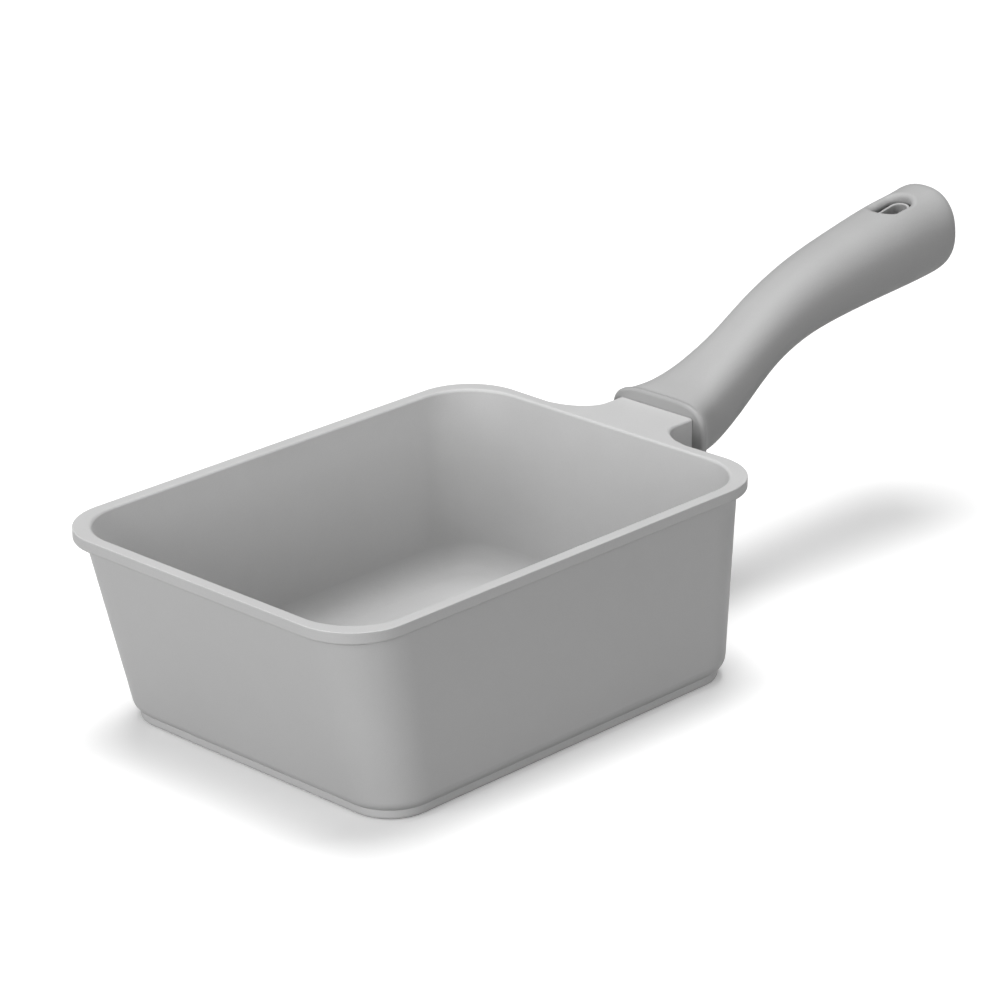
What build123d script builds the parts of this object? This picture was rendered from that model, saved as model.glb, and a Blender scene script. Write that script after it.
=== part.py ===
"""Tamagoyaki pan: a deep rectangular die-cast pan with an S-curved moulded grip.

Millimetres. The origin lies on the surface that the pan stands on, under the centre of the rim.
+X runs along the handle, away from the pan, and +Z is up.
"""

import os
from math import copysign, cos, pi, radians, sin

from build123d import *

# Rim
rim_length = 179.5
rim_width = 130.0
rim_corner = 19.8
rim_height = 66.05
rim_land = 4.2
rim_band = 3.1
rim_outer_edge = 0.7
rim_inner_edge = 1.3
rim_lower_edge = 1.4

# Walls and floor
wall_thickness = 2.55
cavity_corner = 19.0
cavity_floor_corner = 14.0
floor_height = 6.0
floor_fillet = 9.0
wall_base_corner = 16.0
wall_base_fillet = 5.1
wall_sink = 0.9

# Foot and the steel plate pressed into it
foot_length = 150.7
foot_width = 115.9
foot_corner = 13.8
foot_height = 3.3
foot_shift = 6.35
foot_lower_edge = 1.4
front_step = 1.3
rear_step = 2.3
side_step = 2.0
plate_margin = 7.0
plate_thickness = 0.8
plate_gap = 0.15
plate_hole_diameter = 7.0
plate_hole_margin = 12.0
plate_columns = 7
plate_rows = 5

# Bracket, cast in one with the rim, and the tongue that carries the grip
bracket_reach = 19.15
bracket_width = 30.3
bracket_flare = 11.5
bracket_flare_width = 17.7
bracket_depth = 18.0
bracket_sink = 0.3
bracket_edge = 1.0
bracket_lower_edge = 4.0
bracket_rear_edge = 0.4
tongue_angle = 19.0
tongue_drop = 8.05
tongue_sink = 4.0
tongue_width = 18.0
tongue_thickness = 8.0
tongue_corner = 2.5
tongue_reach = 20.0
tongue_fit = 0.2

# Collar between the bracket and the grip
collar_length = 2.2
collar_bead = 0.37
collar_front_edge = 1.1
collar_rear_edge = 0.5
spigot_length = 2.4
spigot_inset = 4.2
spigot_fit = 0.15

# Grip
grip_length = 135.8
grip_rise = 39.0
grip_steepest = 29.2
grip_thickness = 29.4
grip_width = 27.6
grip_mouth_drop = 8.15
grip_tip_fillet = 1.5
section_points = 24

# Hanging slot in the grip, and the liner inside it
slot_place = 114.4
slot_length = 15.4
slot_width = 9.2
slot_edge = 1.8
exit_edge = 1.0
slot_lip = 2.95
slot_undercut = 0.5
slot_pocket = 6.5
slot_tilt = 10.5
liner_length = 13.2
liner_width = 7.4
liner_wall = 0.9
liner_shift = 0.65
liner_drop = 3.4
liner_edge = 0.35
liner_fit = 0.15

# Screw from below that holds the grip on the tongue, and its spring washer
screw_place = 9.5
screw_diameter = 5.0
thread_fit = 0.05
screw_fit = 0.3
screw_ledge = 2.2
screw_tip_room = 1.0
head_diameter = 8.6
head_length = 3.0
head_edge = 0.6
head_fit = 0.45
recess_diameter = 4.0
recess_width = 1.1
recess_depth = 1.8
washer_diameter = 8.2
washer_bore = 5.3
washer_thickness = 1.2
washer_slit = 0.9

overrun = 5.0

# Stations of the grip from its mouth to its tip, as shares of its length, rise, thickness, width and
# steepest lean. The last number is the power of the section's oval, from nearly square to round.
grip_shares = [
    (0.0000, 0.0000, 0.8041, 1.3812, 0.000, 3.80),
    (0.0096, 0.0215, 0.7717, 1.2839, 0.004, 3.75),
    (0.0228, 0.0411, 0.7463, 1.1864, 0.017, 3.68),
    (0.0434, 0.0591, 0.7376, 1.0923, 0.032, 3.56),
    (0.0729, 0.0756, 0.7531, 1.0328, 0.082, 3.37),
    (0.1097, 0.1095, 0.7569, 0.9719, 0.285, 3.18),
    (0.1539, 0.1709, 0.7436, 0.9041, 0.603, 2.96),
    (0.2054, 0.2594, 0.7247, 0.8449, 0.902, 2.73),
    (0.2644, 0.3702, 0.6972, 0.7927, 0.993, 2.57),
    (0.3233, 0.4835, 0.6965, 0.7784, 0.959, 2.45),
    (0.3822, 0.5824, 0.7252, 0.7987, 0.796, 2.36),
    (0.4485, 0.6679, 0.7665, 0.8292, 0.600, 2.31),
    (0.5221, 0.7367, 0.8171, 0.8674, 0.436, 2.30),
    (0.6031, 0.7901, 0.8666, 0.9040, 0.313, 2.30),
    (0.6915, 0.8360, 0.9146, 0.9394, 0.274, 2.30),
    (0.7798, 0.8760, 0.9626, 0.9767, 0.233, 2.30),
    (0.8608, 0.9075, 0.9933, 0.9979, 0.207, 2.30),
    (0.9234, 0.9301, 0.9994, 1.0008, 0.201, 2.30),
    (0.9556, 0.9492, 0.9968, 0.9975, 0.201, 2.30),
    (0.9709, 0.9635, 0.9804, 0.9787, 0.201, 2.30),
    (0.9816, 0.9755, 0.9426, 0.9375, 0.201, 2.30),
    (0.9893, 0.9851, 0.8801, 0.8711, 0.201, 2.30),
    (0.9943, 0.9918, 0.7971, 0.7846, 0.201, 2.30),
    (0.9983, 0.9972, 0.6954, 0.6798, 0.201, 2.30),
]

# Sizes that follow
rim_overhang = rim_land - wall_thickness
rim_underside = rim_height - rim_band
cavity_length = rim_length - 2 * rim_land
cavity_width = rim_width - 2 * rim_land
wall_top_length = rim_length - 2 * rim_overhang
wall_top_width = rim_width - 2 * rim_overhang
wall_top_corner = cavity_corner + wall_thickness
wall_base_height = foot_height - wall_sink
wall_base_length = foot_length + front_step + rear_step
wall_base_width = foot_width + 2 * side_step
wall_base_shift = foot_shift + (rear_step - front_step) / 2
cavity_floor_length = wall_base_length - 2 * wall_thickness
cavity_floor_width = wall_base_width - 2 * wall_thickness
pocket_length = foot_length - 2 * plate_margin
pocket_width = foot_width - 2 * plate_margin
pocket_corner = foot_corner - plate_margin
pitch_along = (pocket_length - 2 * plate_hole_margin) / (plate_columns - 1)
pitch_across = (pocket_width - 2 * plate_hole_margin) / (plate_rows - 1)

# Places along the handle
rim_rear = rim_length / 2
collar_front = rim_rear + bracket_reach
mouth = collar_front + collar_length
slot_x = mouth + slot_place
liner_x = slot_x + liner_shift
tilt = radians(tongue_angle)
tongue_along = Vector(cos(tilt), 0, sin(tilt))
tongue_down = Vector(sin(tilt), 0, -cos(tilt))
tongue_mouth = Vector(mouth, 0, rim_height - tongue_drop)
tongue_root = (collar_length + tongue_sink) / cos(tilt)
grip_mouth_height = rim_height - grip_mouth_drop

# The bracket's sweep starts on the leaning rear wall, and higher up on the rim
wall_top_height = rim_height - rim_outer_edge
wall_base_rear = wall_base_length / 2 + wall_base_shift
wall_lean = (wall_top_length / 2 - wall_base_rear) / (wall_top_height - wall_base_height)
bracket_levels = (rim_height - bracket_depth, rim_underside - rim_lower_edge, rim_underside, rim_height)
bracket_starts = (
    wall_base_rear + wall_lean * (bracket_levels[0] - wall_base_height) - bracket_sink,
    wall_base_rear + wall_lean * (bracket_levels[1] - wall_base_height) - bracket_sink,
    rim_rear,
    rim_rear,
)


def oval_points(width, thickness, power):
    """Points of an oval with the given full width and thickness."""
    points = []
    for step in range(section_points):
        turn = 2 * pi * step / section_points
        across = copysign(abs(cos(turn)) ** (2 / power), cos(turn)) * width / 2
        upward = copysign(abs(sin(turn)) ** (2 / power), sin(turn)) * thickness / 2
        points.append((across, upward))
    return points


def cross_plane(centre, direction):
    """Plane square to a direction in the handle's upright plane, its own x axis across the handle."""
    return Plane(origin=centre, x_dir=(0, 1, 0), z_dir=direction)


def station_centre(shares):
    """Centre of one station of the grip."""
    return Vector(mouth + shares[0] * grip_length, 0, grip_mouth_height + shares[1] * grip_rise)


def station_heading(shares):
    """Direction square to one station of the grip."""
    lean = radians(shares[4] * grip_steepest)
    return Vector(cos(lean), 0, sin(lean))


def grip_share(along_share, column):
    """One column of the grip's table, read between two stations."""
    for low, high in zip(grip_shares, grip_shares[1:]):
        if low[0] <= along_share <= high[0]:
            blend = (along_share - low[0]) / (high[0] - low[0])
            return low[column] + blend * (high[column] - low[column])
    raise ValueError("place lies outside the grip")


mouth_width = grip_shares[0][3] * grip_width
mouth_thickness = grip_shares[0][2] * grip_thickness
mouth_power = grip_shares[0][5]
mouth_plane = cross_plane(station_centre(grip_shares[0]), Vector(1, 0, 0))
tongue_plane = cross_plane(tongue_mouth, tongue_along)
screw_plane = cross_plane(tongue_mouth + tongue_along * screw_place, tongue_down)
seat_distance = tongue_thickness / 2 + tongue_fit + screw_ledge
head_distance = seat_distance + washer_thickness
tip_distance = tongue_thickness / 2 - screw_tip_room

# The liner's plane touches the grip's top, with x along the slot
liner_share = (liner_x - mouth) / grip_length
liner_thickness = grip_share(liner_share, 2) * grip_thickness
liner_surface = grip_mouth_height + grip_share(liner_share, 1) * grip_rise + liner_thickness / 2
slot_lean = radians(slot_tilt)
slot_plane = Plane(
    origin=(liner_x, 0, liner_surface),
    x_dir=(cos(slot_lean), 0, sin(slot_lean)),
    z_dir=(-sin(slot_lean), 0, cos(slot_lean)),
)


bead_points = oval_points(mouth_width + 2 * collar_bead, mouth_thickness + 2 * collar_bead, mouth_power)
spigot_points = oval_points(mouth_width - 2 * spigot_inset, mouth_thickness - 2 * spigot_inset, mouth_power)
recess_inset = spigot_inset - spigot_fit
recess_points = oval_points(mouth_width - 2 * recess_inset, mouth_thickness - 2 * recess_inset, mouth_power)

# Rim band with rounded edges
with BuildPart() as rim_form:
    with BuildSketch(Plane.XY.offset(rim_underside)):
        RectangleRounded(rim_length, rim_width, rim_corner)
    extrude(amount=rim_band)
    fillet(rim_form.edges().group_by(Axis.Z)[0], rim_lower_edge)
    fillet(rim_form.edges().group_by(Axis.Z)[-1], rim_outer_edge)

# Bracket block: at each level a concave sweep on both sides runs out along the wall or the rim
half = bracket_width / 2
flare_half = half + bracket_flare_width
root = min(rim_rear, bracket_starts[0]) - rim_land
flare_end = rim_rear + bracket_flare
with BuildPart() as bracket_form:
    for level, flare_start in zip(bracket_levels, bracket_starts):
        with BuildSketch(Plane.XY.offset(level)):
            with BuildLine():
                Line((root, 0), (root, flare_half))
                Line((root, flare_half), (flare_start, flare_half))
                EllipticalCenterArc(
                    (flare_end, flare_half), flare_end - flare_start, bracket_flare_width, 180, arc_size=90
                )
                Line((flare_end, half), (collar_front, half))
                Line((collar_front, half), (collar_front, 0))
                mirror(about=Plane.XZ)
            make_face()
    loft(ruled=True)
    side_edges = bracket_form.faces().group_by(Axis.Z)[-1].edges().filter_by(
        lambda edge: edge.center().X > rim_rear and abs(edge.center().Y) > half / 2
    )
    fillet(side_edges, bracket_edge)
    under_edges = bracket_form.faces().group_by(Axis.Z)[0].edges().filter_by(
        lambda edge: edge.center().X > rim_rear and abs(edge.center().Y) > half / 2
    )
    fillet(under_edges, bracket_lower_edge)
    fillet(bracket_form.faces().sort_by(Axis.X)[-1].edges(), bracket_rear_edge)

# Cavity with soft floor corners
with BuildPart() as cavity_form:
    with BuildSketch(Plane.XY.offset(floor_height)):
        with Locations((wall_base_shift, 0)):
            RectangleRounded(cavity_floor_length, cavity_floor_width, cavity_floor_corner)
    with BuildSketch(Plane.XY.offset(rim_height)):
        RectangleRounded(cavity_length, cavity_width, cavity_corner)
    loft()
    extrude(cavity_form.faces().sort_by(Axis.Z)[-1], amount=overrun)
    fillet(cavity_form.edges().group_by(Axis.Z)[0], floor_fillet)

# Pan body: rim, drafted walls, floor, foot, bracket and tongue in one casting
with BuildPart() as pan_body:
    with BuildSketch(Plane.XY.offset(wall_base_height)):
        with Locations((wall_base_shift, 0)):
            RectangleRounded(wall_base_length, wall_base_width, wall_base_corner)
    with BuildSketch(Plane.XY.offset(wall_top_height)):
        RectangleRounded(wall_top_length, wall_top_width, wall_top_corner)
    loft()
    fillet(pan_body.edges().group_by(Axis.Z)[0], wall_base_fillet)
    with BuildSketch(Plane.XY):
        with Locations((foot_shift, 0)):
            RectangleRounded(foot_length, foot_width, foot_corner)
    extrude(amount=foot_height)
    fillet(pan_body.edges().group_by(Axis.Z)[0], foot_lower_edge)
    add(rim_form.part)
    add(bracket_form.part)
    with BuildSketch(tongue_plane.offset(-tongue_root)):
        RectangleRounded(tongue_width, tongue_thickness, tongue_corner)
    extrude(amount=tongue_root + tongue_reach)
    add(cavity_form.part, mode=Mode.SUBTRACT)
    land = pan_body.faces().filter_by(Axis.Z).sort_by(Axis.Z)[-1]
    fillet(land.inner_wires()[0].edges(), rim_inner_edge)
    with BuildSketch(Plane.XY):
        with Locations((foot_shift, 0)):
            RectangleRounded(pocket_length, pocket_width, pocket_corner)
    extrude(amount=plate_thickness, mode=Mode.SUBTRACT)
    with BuildSketch(screw_plane.offset(-tongue_thickness / 2)):
        Circle(screw_diameter / 2 + thread_fit)
    extrude(amount=tongue_thickness, mode=Mode.SUBTRACT)

# Perforated steel plate that makes the base take heat evenly
with BuildPart() as induction_plate:
    with BuildSketch(Plane.XY):
        with Locations((foot_shift, 0)):
            RectangleRounded(
                pocket_length - 2 * plate_gap, pocket_width - 2 * plate_gap, pocket_corner - plate_gap
            )
        with Locations((foot_shift, 0)):
            with GridLocations(pitch_along, pitch_across, plate_columns, plate_rows):
                Circle(plate_hole_diameter / 2, mode=Mode.SUBTRACT)
    extrude(amount=plate_thickness)

# Collar: a beaded ring round the tongue, with a spigot that enters the grip
with BuildPart() as collar_ring:
    with BuildSketch(mouth_plane.offset(-collar_length)):
        with BuildLine():
            Spline(bead_points, periodic=True)
        make_face()
    extrude(amount=collar_length)
    fillet(collar_ring.edges().group_by(Axis.X)[0], collar_front_edge)
    fillet(collar_ring.edges().group_by(Axis.X)[-1], collar_rear_edge)
    with BuildSketch(mouth_plane):
        with BuildLine():
            Spline(spigot_points, periodic=True)
        make_face()
    extrude(amount=spigot_length)
    with BuildSketch(tongue_plane.offset(-tongue_root)):
        RectangleRounded(
            tongue_width + 2 * tongue_fit, tongue_thickness + 2 * tongue_fit, tongue_corner + tongue_fit
        )
    extrude(amount=tongue_root + tongue_reach, mode=Mode.SUBTRACT)

# Grip: oval sections lofted along the S-curve
with BuildPart() as handle_grip:
    for shares in grip_shares:
        with BuildSketch(cross_plane(station_centre(shares), station_heading(shares))):
            with BuildLine():
                Spline(oval_points(shares[3] * grip_width, shares[2] * grip_thickness, shares[5]), periodic=True)
            make_face()
    loft()
    fillet(handle_grip.faces().sort_by(Axis.X)[-1].edges(), grip_tip_fillet)
    # Hanging slot, its undercut pocket, and the narrower way down that holds the liner
    with BuildSketch(slot_plane.offset(-slot_pocket)):
        with Locations((-liner_shift, 0)):
            SlotOverall(slot_length, slot_width)
    extrude(amount=slot_pocket + overrun, mode=Mode.SUBTRACT)
    slot_rim = handle_grip.edges().filter_by(
        lambda edge: abs(edge.center().X - slot_x) < slot_length and edge.center().Z > liner_surface - slot_lip
    )
    fillet(slot_rim, slot_edge)
    with BuildSketch(slot_plane.offset(-slot_pocket)):
        with Locations((-liner_shift, 0)):
            SlotOverall(slot_length + 2 * slot_undercut, slot_width + 2 * slot_undercut)
    extrude(amount=slot_pocket - slot_lip, mode=Mode.SUBTRACT)
    with BuildSketch(slot_plane.offset(-slot_pocket)):
        SlotOverall(liner_length + 2 * liner_fit, liner_width + 2 * liner_fit)
    extrude(amount=-grip_thickness, mode=Mode.SUBTRACT)
    lower_rim = handle_grip.edges().filter_by(
        lambda edge: abs(edge.center().X - slot_x) < slot_length
        and edge.center().Z < liner_surface - liner_thickness / 2
        and abs(edge.center().Z - (liner_surface - liner_thickness)) < slot_lip
    )
    fillet(lower_rim, exit_edge)
    # Recess for the collar's spigot, socket for the tongue, and the screw hole from below
    with BuildSketch(mouth_plane):
        with BuildLine():
            Spline(recess_points, periodic=True)
        make_face()
    extrude(amount=spigot_length + spigot_fit, mode=Mode.SUBTRACT)
    with BuildSketch(tongue_plane.offset(-tongue_root)):
        RectangleRounded(
            tongue_width + 2 * tongue_fit, tongue_thickness + 2 * tongue_fit, tongue_corner + tongue_fit
        )
    extrude(amount=tongue_root + tongue_reach + tongue_fit, mode=Mode.SUBTRACT)
    with BuildSketch(screw_plane):
        Circle(screw_diameter / 2 + screw_fit)
    extrude(amount=grip_thickness, mode=Mode.SUBTRACT)
    with BuildSketch(screw_plane.offset(seat_distance)):
        Circle(head_diameter / 2 + head_fit)
    extrude(amount=grip_thickness, mode=Mode.SUBTRACT)

# Liner: an oval bush that makes a clean hole for a hook
with BuildPart() as hanging_liner:
    with BuildSketch(slot_plane.offset(-liner_drop)):
        SlotOverall(liner_length, liner_width)
        SlotOverall(liner_length - 2 * liner_wall, liner_width - 2 * liner_wall, mode=Mode.SUBTRACT)
    extrude(amount=liner_drop + exit_edge - liner_thickness)
    fillet(hanging_liner.edges().group_by(Axis(slot_plane.origin, slot_plane.z_dir))[-1], liner_edge)

# Screw from below, with a rounded head and a cross recess
with BuildPart() as handle_screw:
    with BuildSketch(screw_plane.offset(-tip_distance)):
        Circle(screw_diameter / 2)
    extrude(amount=tip_distance + head_distance)
    with BuildSketch(screw_plane.offset(head_distance)):
        Circle(head_diameter / 2)
    extrude(amount=head_length)
    crown = handle_screw.faces().sort_by(Axis.Z)[0]
    fillet(crown.edges(), head_edge)
    with BuildSketch(screw_plane.offset(head_distance + head_length)):
        Rectangle(recess_diameter, recess_width)
        Rectangle(recess_width, recess_diameter)
    extrude(amount=-recess_depth, mode=Mode.SUBTRACT)

# Split spring washer under the head
with BuildPart() as spring_washer:
    with BuildSketch(screw_plane.offset(seat_distance)):
        Circle(washer_diameter / 2)
        Circle(washer_bore / 2, mode=Mode.SUBTRACT)
        with Locations((washer_diameter / 2, 0)):
            Rectangle(washer_diameter, washer_slit, mode=Mode.SUBTRACT)
    extrude(amount=washer_thickness)

pan_body.part.label = "pan_body"
induction_plate.part.label = "induction_plate"
collar_ring.part.label = "collar_ring"
handle_grip.part.label = "handle_grip"
hanging_liner.part.label = "hanging_liner"
handle_screw.part.label = "handle_screw"
spring_washer.part.label = "spring_washer"

os.makedirs("parts", exist_ok=True)
export_step(pan_body.part, "parts/pan_body.step")
export_step(induction_plate.part, "parts/induction_plate.step")
export_step(collar_ring.part, "parts/collar_ring.step")
export_step(handle_grip.part, "parts/handle_grip.step")
export_step(hanging_liner.part, "parts/hanging_liner.step")
export_step(handle_screw.part, "parts/handle_screw.step")
export_step(spring_washer.part, "parts/spring_washer.step")
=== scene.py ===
"""Looks of the tamagoyaki pan: materials, a finer rim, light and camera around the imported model. Metres."""

import math

import bpy
from mathutils import Matrix, Vector


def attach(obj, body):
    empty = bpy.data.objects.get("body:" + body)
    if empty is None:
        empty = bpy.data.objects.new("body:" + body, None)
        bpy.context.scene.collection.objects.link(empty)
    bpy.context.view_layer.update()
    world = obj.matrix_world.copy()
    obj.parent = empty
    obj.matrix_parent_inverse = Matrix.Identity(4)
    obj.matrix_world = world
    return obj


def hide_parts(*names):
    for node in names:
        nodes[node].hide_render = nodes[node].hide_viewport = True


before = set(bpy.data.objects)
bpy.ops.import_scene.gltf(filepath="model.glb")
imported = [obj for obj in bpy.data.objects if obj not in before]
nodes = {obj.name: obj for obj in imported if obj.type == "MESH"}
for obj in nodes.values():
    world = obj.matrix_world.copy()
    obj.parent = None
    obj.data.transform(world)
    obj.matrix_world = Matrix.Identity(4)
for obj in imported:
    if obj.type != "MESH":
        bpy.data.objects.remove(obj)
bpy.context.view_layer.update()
scene = bpy.context.scene

# Sockets of the mix node for colours, whose names repeat for every kind of data
MIX_FACTOR = 0
MIX_FIRST = 6
MIX_SECOND = 7
MIX_RESULT = 2

# Ranges: most values of a noise texture, the narrower one of the specks, and a full one
NOISE_SPAN = (0.3, 0.7)
SPECK_SPAN = (0.35, 0.65)
FULL_SPAN = (0.0, 1.0)

# Coated and moulded surfaces. Small grains lie on the grain, this many times finer and with these heights.
MOTTLE_SCALE = 42.0
FINE_GRAINS = 2.6
FINE_HEIGHTS = (0.0, 0.5)
MATT_SPECULAR = 0.3

# Bare steel
SCRATCH_SCALE = 900.0
SCRATCH_DEPTH = 0.000004
TARNISH_SCALE = 60.0
STEEL_BLUE = 1.01
ALONG_X = (0.04, 1.0, 1.0)
ALL_WAYS = (1.0, 1.0, 1.0)


def grey(tone, blue=1.0):
    """A grey colour, with its blue scaled."""
    return (tone, tone, tone * blue, 1.0)


class Graph:
    """The emptied node tree of a material or a world, and short ways to fill it."""

    def __init__(self, owner):
        owner.use_nodes = True
        self.tree = owner.node_tree
        self.tree.nodes.clear()

    def put(self, value, entry):
        """Links a socket to an input, or sets the input to a plain value."""
        if isinstance(value, bpy.types.NodeSocket):
            self.tree.links.new(value, entry)
        else:
            entry.default_value = value

    def add(self, kind, **values):
        """Adds a node. A value goes to the input of its name, or else to the node's own setting."""
        node = self.tree.nodes.new(kind)
        for key, value in values.items():
            if key in node.inputs:
                self.put(value, node.inputs[key])
            else:
                setattr(node, key, value)
        return node

    def maths(self, operation, first, second):
        """Works on two values."""
        node = self.add("ShaderNodeMath", operation=operation)
        self.put(first, node.inputs[0])
        self.put(second, node.inputs[1])
        return node.outputs[0]

    def span(self, value, source, result):
        """Maps a value's range onto another range."""
        node = self.add("ShaderNodeMapRange", Value=value)
        for name, number in zip(("From Min", "From Max", "To Min", "To Max"), source + result):
            node.inputs[name].default_value = number
        return node.outputs["Result"]

    def mix(self, factor, first, second, blend_type="MIX"):
        """Blends two colours."""
        node = self.add("ShaderNodeMix", data_type="RGBA", blend_type=blend_type)
        self.put(factor, node.inputs[MIX_FACTOR])
        self.put(first, node.inputs[MIX_FIRST])
        self.put(second, node.inputs[MIX_SECOND])
        return node.outputs[MIX_RESULT]

    def place(self):
        """The object's own coordinates."""
        return self.add("ShaderNodeTexCoord").outputs["Object"]

    def noise(self, place, scale, detail, rough):
        """The values of a noise texture."""
        node = self.add("ShaderNodeTexNoise", Vector=place, Scale=scale, Detail=detail, Roughness=rough)
        return node.outputs["Fac"]

    def gloss(self, cloud, roughness, spread):
        """A roughness that varies with a noise texture."""
        return self.span(cloud, NOISE_SPAN, (roughness - spread, roughness + spread))

    def solid(self, colour, roughness, height, depth, metallic=0.0, specular=0.5):
        """Ends a material with a solid surface, raised by a height texture."""
        bump = self.add("ShaderNodeBump", Height=height, Distance=depth, Strength=1.0)
        shader = self.add("ShaderNodeBsdfPrincipled", Roughness=roughness, Metallic=metallic)
        self.put(colour, shader.inputs["Base Color"])
        self.put(specular, shader.inputs["Specular IOR Level"])
        self.put(bump.outputs["Normal"], shader.inputs["Normal"])
        self.add("ShaderNodeOutputMaterial", Surface=shader.outputs["BSDF"])


def grained(name, shade, mottle, grain_size, grain_depth, roughness, spread, speckle=0.0):
    """Neutral matt surface with fine grain, slight mottling and uneven gloss, and dark specks if asked."""
    material = bpy.data.materials.new(name)
    graph = Graph(material)
    place = graph.place()
    cloud = graph.noise(place, MOTTLE_SCALE, detail=3.0, rough=0.6)
    grain = graph.noise(place, 1.0 / grain_size, detail=2.0, rough=0.55)
    fine = graph.noise(place, FINE_GRAINS / grain_size, detail=1.0, rough=0.5)
    dark = grey(shade * (1.0 - mottle))
    light = grey(shade * (1.0 + mottle))
    colour = graph.mix(graph.span(cloud, NOISE_SPAN, FULL_SPAN), dark, light)
    if speckle:
        specks = graph.span(fine, SPECK_SPAN, FULL_SPAN)
        colour = graph.mix(specks, colour, grey(1.0 - speckle), blend_type="MULTIPLY")
    height = graph.maths("ADD", grain, graph.span(fine, NOISE_SPAN, FINE_HEIGHTS))
    gloss = graph.gloss(cloud, roughness, spread)
    graph.solid(colour, gloss, height, grain_depth, specular=MATT_SPECULAR)
    return material


def brushed(name, shade, streak, roughness, spread, squash):
    """Bare steel with fine scratches and cloudy gloss. A squashed axis draws the scratches out along it."""
    material = bpy.data.materials.new(name)
    graph = Graph(material)
    place = graph.place()
    squashed = graph.add("ShaderNodeMapping", Vector=place, Scale=squash).outputs["Vector"]
    scratches = graph.noise(squashed, SCRATCH_SCALE, detail=3.0, rough=0.7)
    cloud = graph.noise(place, TARNISH_SCALE, detail=4.0, rough=0.6)
    dark = grey(shade * (1.0 - streak), STEEL_BLUE)
    light = grey(shade * (1.0 + streak), STEEL_BLUE)
    colour = graph.mix(graph.span(scratches, NOISE_SPAN, FULL_SPAN), dark, light)
    gloss = graph.gloss(cloud, roughness, spread)
    graph.solid(colour, gloss, scratches, SCRATCH_DEPTH, metallic=1.0)
    return material


FINISHES = {
    "pan_body": grained(
        "pan_coating", shade=0.545, mottle=0.015, grain_size=0.00042, grain_depth=0.000022,
        roughness=0.52, spread=0.04, speckle=0.05,
    ),
    "handle_grip": grained(
        "grip_plastic", shade=0.405, mottle=0.018, grain_size=0.0005, grain_depth=0.000022,
        roughness=0.6, spread=0.05, speckle=0.05,
    ),
    # Painted shade: the collar's plastic is the grip's, but its tone is set lower to stand for the shade on
    # its front face, which faces the pan
    "collar_ring": grained(
        "collar_plastic", shade=0.36, mottle=0.01, grain_size=0.0005, grain_depth=0.000008,
        roughness=0.45, spread=0.03,
    ),
    "hanging_liner": grained(
        "liner_plastic", shade=0.46, mottle=0.01, grain_size=0.0005, grain_depth=0.000008,
        roughness=0.5, spread=0.03,
    ),
    "induction_plate": brushed(
        "base_steel", shade=0.55, streak=0.08, roughness=0.34, spread=0.05, squash=ALONG_X
    ),
    "handle_screw": brushed(
        "screw_steel", shade=0.6, streak=0.05, roughness=0.3, spread=0.05, squash=ALL_WAYS
    ),
    "spring_washer": brushed(
        "washer_steel", shade=0.55, streak=0.05, roughness=0.36, spread=0.05, squash=ALL_WAYS
    ),
}
for node, material in FINISHES.items():
    mesh = nodes[node].data
    mesh.materials.clear()
    mesh.materials.append(material)

# The rim in the photograph has a taller side and crisper edges than the solid has, so a finer mesh of the
# pan stands for the CAD node. It lowers the rim's underside, with the top of the wall below it, and
# tightens the roundings of the rim's lower, upper and inner edges. The rest stays as it is.
RIM_HALF = (0.08975, 0.065)
RIM_CORNER = 0.0198
RIM_TOP = 0.06605
RIM_UNDERSIDE = 0.06295
RIM_DROP = 0.0008
CAVITY_HALF = (0.08555, 0.0608)
CAVITY_CORNER = 0.019
LOWER_EDGE = 0.0014
UPPER_EDGE = 0.0007
INNER_EDGE = 0.0013
CRISP_LOWER = 0.0008
CRISP_UPPER = 0.0003
CRISP_INNER = 0.0009

# The wall leans. Down its whole run, from top to base, its corners' centres move to +X by the front or
# rear shift and outwards by the side shift, and their radius shrinks by the corner growth.
WALL_RUN = 0.06295
FRONT_SHIFT = 0.01225
REAR_SHIFT = 0.00145
SIDE_SHIFT = 0.00215
CORNER_GROWTH = 0.00555

# Points of the wall's top lie within this distance of the rim's outline
WALL_REACH = 0.004

# Past this X and within this half width the rim belongs to the bracket, and only its inner edge changes
BRACKET_X = 0.085
BRACKET_HALF = 0.04

# Tolerance for the place of a mesh point
NEAR = 0.00003


def inside(point, half, corner):
    """How far a point lies inside a rounded outline, and the outward direction there."""
    beyond_x = max(abs(point.x) - half[0] + corner, 0.0)
    beyond_y = max(abs(point.y) - half[1] + corner, 0.0)
    beyond = Vector((math.copysign(beyond_x, point.x), math.copysign(beyond_y, point.y), 0.0))
    return corner - beyond.length, beyond.normalized()


def on_rounding(depth, away, radius):
    """Whether a place, told by its two distances from a sharp edge, lies on the edge's rounding."""
    if not (-NEAR < depth < radius + NEAR and -NEAR < away < radius + NEAR):
        return False
    return abs(math.hypot(radius - depth, radius - away) - radius) < NEAR


def tightened(point, depth, outward, height, share):
    """A point of a rounding, drawn level towards the sharp edge and set at a height."""
    moved = point + outward * depth * (1 - share)
    moved.z = height
    return moved


def slid(point, outward, lowering):
    """A point of the wall, moved down along the wall's own slope."""
    slide = lowering / WALL_RUN
    end_shift = REAR_SHIFT if point.x > 0 else FRONT_SHIFT
    moved = point.copy()
    moved.x += slide * (end_shift - CORNER_GROWTH * outward.x)
    moved.y += slide * (math.copysign(SIDE_SHIFT, point.y) - CORNER_GROWTH * outward.y)
    moved.z -= lowering
    return moved


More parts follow.
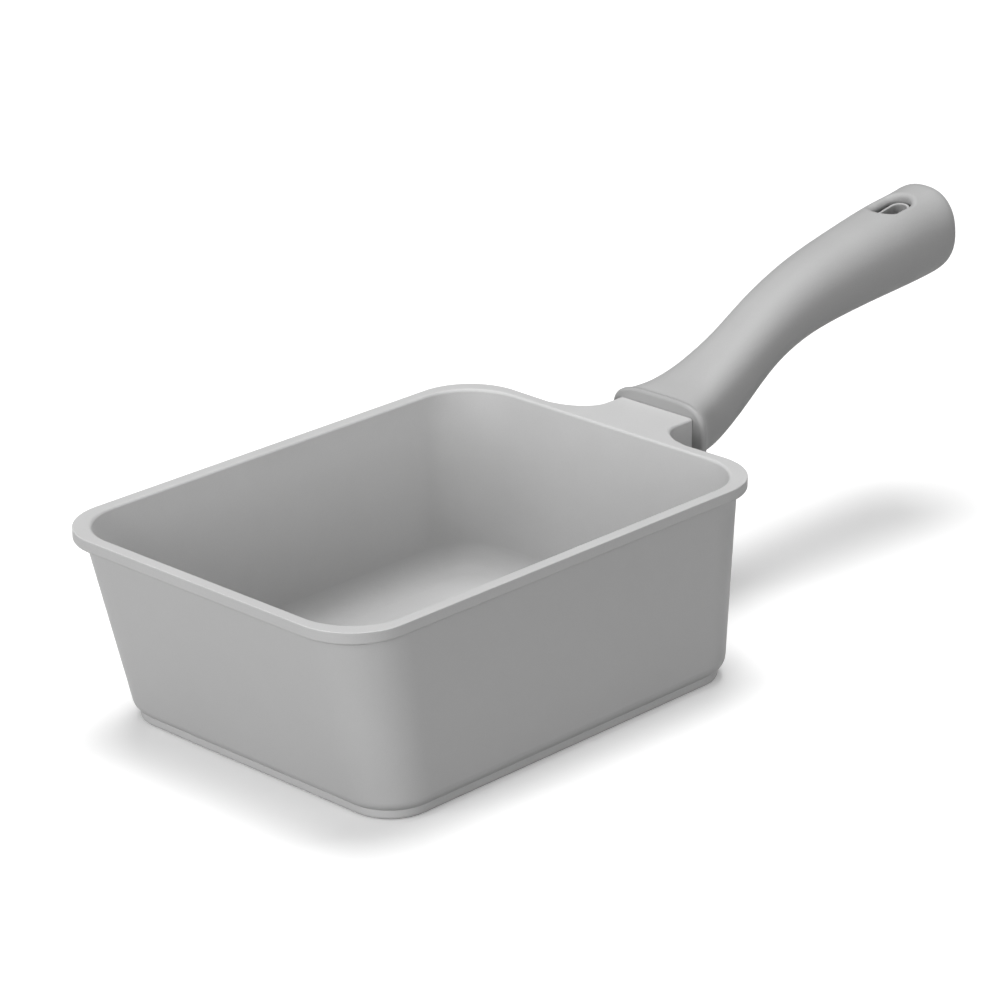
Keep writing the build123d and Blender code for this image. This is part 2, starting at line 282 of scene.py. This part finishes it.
def refined(point):
    """Where a point of the solid's mesh lies on the finer mesh."""
    fall = RIM_TOP - point.z
    rise = point.z - RIM_UNDERSIDE
    depth, outward = inside(point, CAVITY_HALF, CAVITY_CORNER)
    if fall < INNER_EDGE and abs(depth) < INNER_EDGE + NEAR:
        share = CRISP_INNER / INNER_EDGE
        return tightened(point, depth, outward, RIM_TOP - fall * share, share)
    if point.x > BRACKET_X and abs(point.y) < BRACKET_HALF:
        return point
    depth, outward = inside(point, RIM_HALF, RIM_CORNER)
    if on_rounding(depth, rise, LOWER_EDGE):
        share = CRISP_LOWER / LOWER_EDGE
        return tightened(point, depth, outward, RIM_UNDERSIDE + rise * share - RIM_DROP, share)
    if on_rounding(depth, fall, UPPER_EDGE):
        share = CRISP_UPPER / UPPER_EDGE
        return tightened(point, depth, outward, RIM_TOP - fall * share, share)
    if -RIM_DROP < rise < NEAR and LOWER_EDGE < depth < WALL_REACH:
        return slid(point, outward, RIM_DROP + min(rise, 0.0))
    return point


casting_mesh = nodes["pan_body"].data.copy()
casting_mesh.name = "pan_casting"
for vertex in casting_mesh.vertices:
    vertex.co = refined(vertex.co)
casting_mesh.update()
casting = bpy.data.objects.new("pan_casting", casting_mesh)
scene.collection.objects.link(casting)
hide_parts("pan_body")
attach(casting, "root")

# Camera at the photograph's place
EYE = Vector((-0.795415, -0.799229, 0.508504))
FORWARD = Vector((0.671272, 0.644671, -0.365777)).normalized()
ROLL = math.radians(-0.24)
SENSOR_MM = 36.0
LENS_MM = 145.49
NEAREST = 0.05
FARTHEST = 20.0

right = FORWARD.cross(Vector((0, 0, 1))).normalized()
above = right.cross(FORWARD)
side = right * math.cos(ROLL) + above * math.sin(ROLL)
over = above * math.cos(ROLL) - right * math.sin(ROLL)
camera_data = bpy.data.cameras.new("camera")
camera_data.sensor_fit = "HORIZONTAL"
camera_data.sensor_width = SENSOR_MM
camera_data.lens = LENS_MM
camera_data.clip_start = NEAREST
camera_data.clip_end = FARTHEST
camera = bpy.data.objects.new("camera", camera_data)
camera.matrix_world = Matrix.Translation(EYE) @ Matrix((side, over, -FORWARD)).transposed().to_4x4()
scene.collection.objects.link(camera)
scene.camera = camera

# Floor of white paper. The camera and reflections see it light, with a little glow of its own. To other
# rays it is dim, so that it throws little light up. Farther off the camera sees it glow to plain white.
FLOOR_HALF = 4.0
FLOOR_HEIGHT = -0.0002
FLOOR_DIM = 0.12
FLOOR_LIGHT = 0.96
SEEN_GLOW = (0.0, 0.2)
FAR_GLOW = (0.0, 0.8)
FAR_SPAN = (0.7, 1.6)

floor_mesh = bpy.data.meshes.new("floor")
floor_mesh.from_pydata(
    [
        (-FLOOR_HALF, -FLOOR_HALF, FLOOR_HEIGHT),
        (FLOOR_HALF, -FLOOR_HALF, FLOOR_HEIGHT),
        (FLOOR_HALF, FLOOR_HALF, FLOOR_HEIGHT),
        (-FLOOR_HALF, FLOOR_HALF, FLOOR_HEIGHT),
    ],
    [],
    [(0, 1, 2, 3)],
)
floor = bpy.data.objects.new("floor", floor_mesh)
scene.collection.objects.link(floor)

floor_paper = bpy.data.materials.new("floor_paper")
paper = Graph(floor_paper)
rays = paper.add("ShaderNodeLightPath").outputs
seen = paper.maths("MAXIMUM", rays["Is Camera Ray"], rays["Is Glossy Ray"])
tint = paper.mix(seen, grey(FLOOR_DIM), grey(FLOOR_LIGHT))
matt = paper.add("ShaderNodeBsdfDiffuse", Color=tint)
reach = paper.add("ShaderNodeVectorMath", operation="LENGTH", Vector=paper.place()).outputs["Value"]
far_glow = paper.maths("MULTIPLY", paper.span(reach, FAR_SPAN, FAR_GLOW), rays["Is Camera Ray"])
seen_glow = paper.span(seen, FULL_SPAN, SEEN_GLOW)
lift = paper.add("ShaderNodeEmission", Strength=paper.maths("ADD", seen_glow, far_glow))
both = paper.add("ShaderNodeAddShader")
paper.put(matt.outputs[0], both.inputs[0])
paper.put(lift.outputs[0], both.inputs[1])
paper.add("ShaderNodeOutputMaterial", Surface=both.outputs[0])
floor_mesh.materials.append(floor_paper)

# Surroundings: plain white to the camera and through clear things, and a faint glow to other rays
WHITE = grey(1.0)
SKY_GLOW = 0.1

scene.world = bpy.data.worlds.new("surroundings")
sky = Graph(scene.world)
sky_rays = sky.add("ShaderNodeLightPath").outputs
seen_sky = sky.maths("MAXIMUM", sky_rays["Is Camera Ray"], sky_rays["Is Transmission Ray"])
glow = sky.add("ShaderNodeBackground", Color=WHITE, Strength=SKY_GLOW)
white = sky.add("ShaderNodeBackground", Color=WHITE, Strength=1.0)
either = sky.add("ShaderNodeMixShader")
sky.put(seen_sky, either.inputs[0])
sky.put(glow.outputs[0], either.inputs[1])
sky.put(white.outputs[0], either.inputs[2])
sky.add("ShaderNodeOutputWorld", Surface=either.outputs[0])

# Point that the lamps face
AIM = Vector((0.0, 0.0, 0.05))


def softbox(name, place, width, height, watts):
    """Large rectangular lamp that faces the pan."""
    data = bpy.data.lights.new(name, "AREA")
    data.shape = "RECTANGLE"
    data.size = width
    data.size_y = height
    data.energy = watts
    lamp = bpy.data.objects.new(name, data)
    lamp.location = place
    lamp.rotation_euler = (AIM - lamp.location).to_track_quat("-Z", "Y").to_euler()
    scene.collection.objects.link(lamp)


softbox("key", (0.15, 0.2, 2.25), width=1.2, height=1.2, watts=46.0)
softbox("left", (-2.1, -0.05, 0.6), width=2.3, height=1.05, watts=36.0)
softbox("right", (-0.3, -2.3, 0.6), width=1.8, height=0.8, watts=18.0)

scene.view_settings.view_transform = "Standard"
